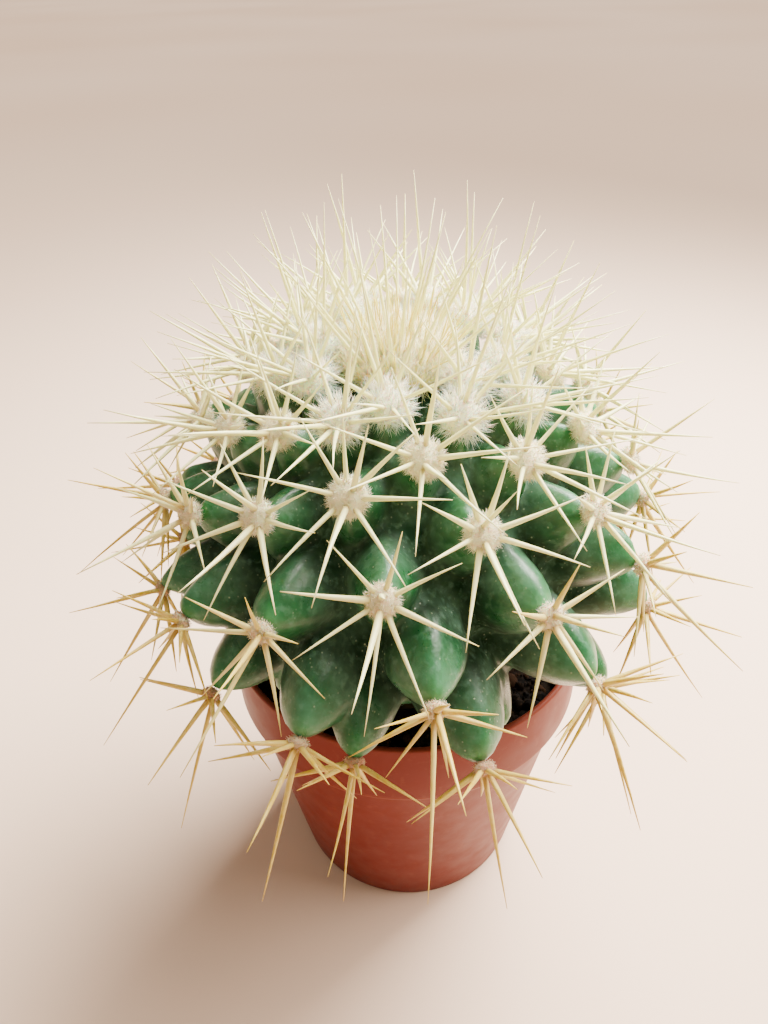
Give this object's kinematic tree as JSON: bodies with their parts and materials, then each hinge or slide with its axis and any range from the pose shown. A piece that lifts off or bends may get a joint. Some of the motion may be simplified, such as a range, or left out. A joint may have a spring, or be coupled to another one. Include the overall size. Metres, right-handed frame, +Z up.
{
  "type": "potted golden barrel cactus",
  "caption": "Young globular cactus with spiralled chin-shaped tubercles, felted areoles with straw-coloured spines and a woolly crown, growing in peat in a small round plastic pot.",
  "frame": {"origin": "centre of the pot's flat underside", "axes": "+Z up along the pot's axis; -Y is the pictured front"},
  "size_m": [0.0911, 0.1014, 0.1122],
  "materials": {
    "pot_plastic": "thin moulded terracotta-brown plastic, satin",
    "peat": "dark crumbly peat, matt",
    "cactus_skin": "waxy green plant skin, satin",
    "felt_and_spines": "cream felt and stiff straw-coloured spines",
    "wool_and_young_spines": "cream-white wool and pale young spines"
  },
  "bodies": {
    "root": {"pot": "pot_plastic", "soil": "peat", "cactus_body": "cactus_skin", "areole_1": "felt_and_spines", "areole_2": "felt_and_spines", "areole_3": "felt_and_spines", "areole_4": "felt_and_spines", "areole_5": "felt_and_spines", "areole_6": "felt_and_spines", "areole_7": "felt_and_spines", "areole_8": "felt_and_spines", "areole_9": "felt_and_spines", "areole_10": "felt_and_spines", "areole_11": "felt_and_spines", "areole_12": "felt_and_spines", "areole_13": "felt_and_spines", "areole_14": "felt_and_spines", "areole_15": "felt_and_spines", "areole_16": "felt_and_spines", "areole_17": "felt_and_spines", "areole_18": "felt_and_spines", "areole_19": "felt_and_spines", "areole_20": "felt_and_spines", "areole_21": "felt_and_spines", "areole_22": "felt_and_spines", "areole_23": "felt_and_spines", "areole_24": "felt_and_spines", "areole_25": "felt_and_spines", "areole_26": "felt_and_spines", "areole_27": "felt_and_spines", "areole_28": "felt_and_spines", "areole_29": "felt_and_spines", "areole_30": "felt_and_spines", "areole_31": "felt_and_spines", "areole_32": "felt_and_spines", "areole_33": "felt_and_spines", "areole_34": "felt_and_spines", "areole_35": "felt_and_spines", "areole_36": "felt_and_spines", "areole_37": "felt_and_spines", "areole_38": "felt_and_spines", "areole_39": "felt_and_spines", "areole_40": "felt_and_spines", "areole_41": "felt_and_spines", "areole_42": "felt_and_spines", "areole_43": "felt_and_spines", "areole_44": "felt_and_spines", "areole_45": "felt_and_spines", "areole_46": "felt_and_spines", "areole_47": "felt_and_spines", "areole_48": "felt_and_spines", "areole_49": "felt_and_spines", "areole_50": "felt_and_spines", "areole_51": "felt_and_spines", "areole_52": "felt_and_spines", "areole_53": "felt_and_spines", "areole_54": "felt_and_spines", "areole_55": "felt_and_spines", "areole_56": "felt_and_spines", "crown": "wool_and_young_spines"}
  },
  "joints": []
}
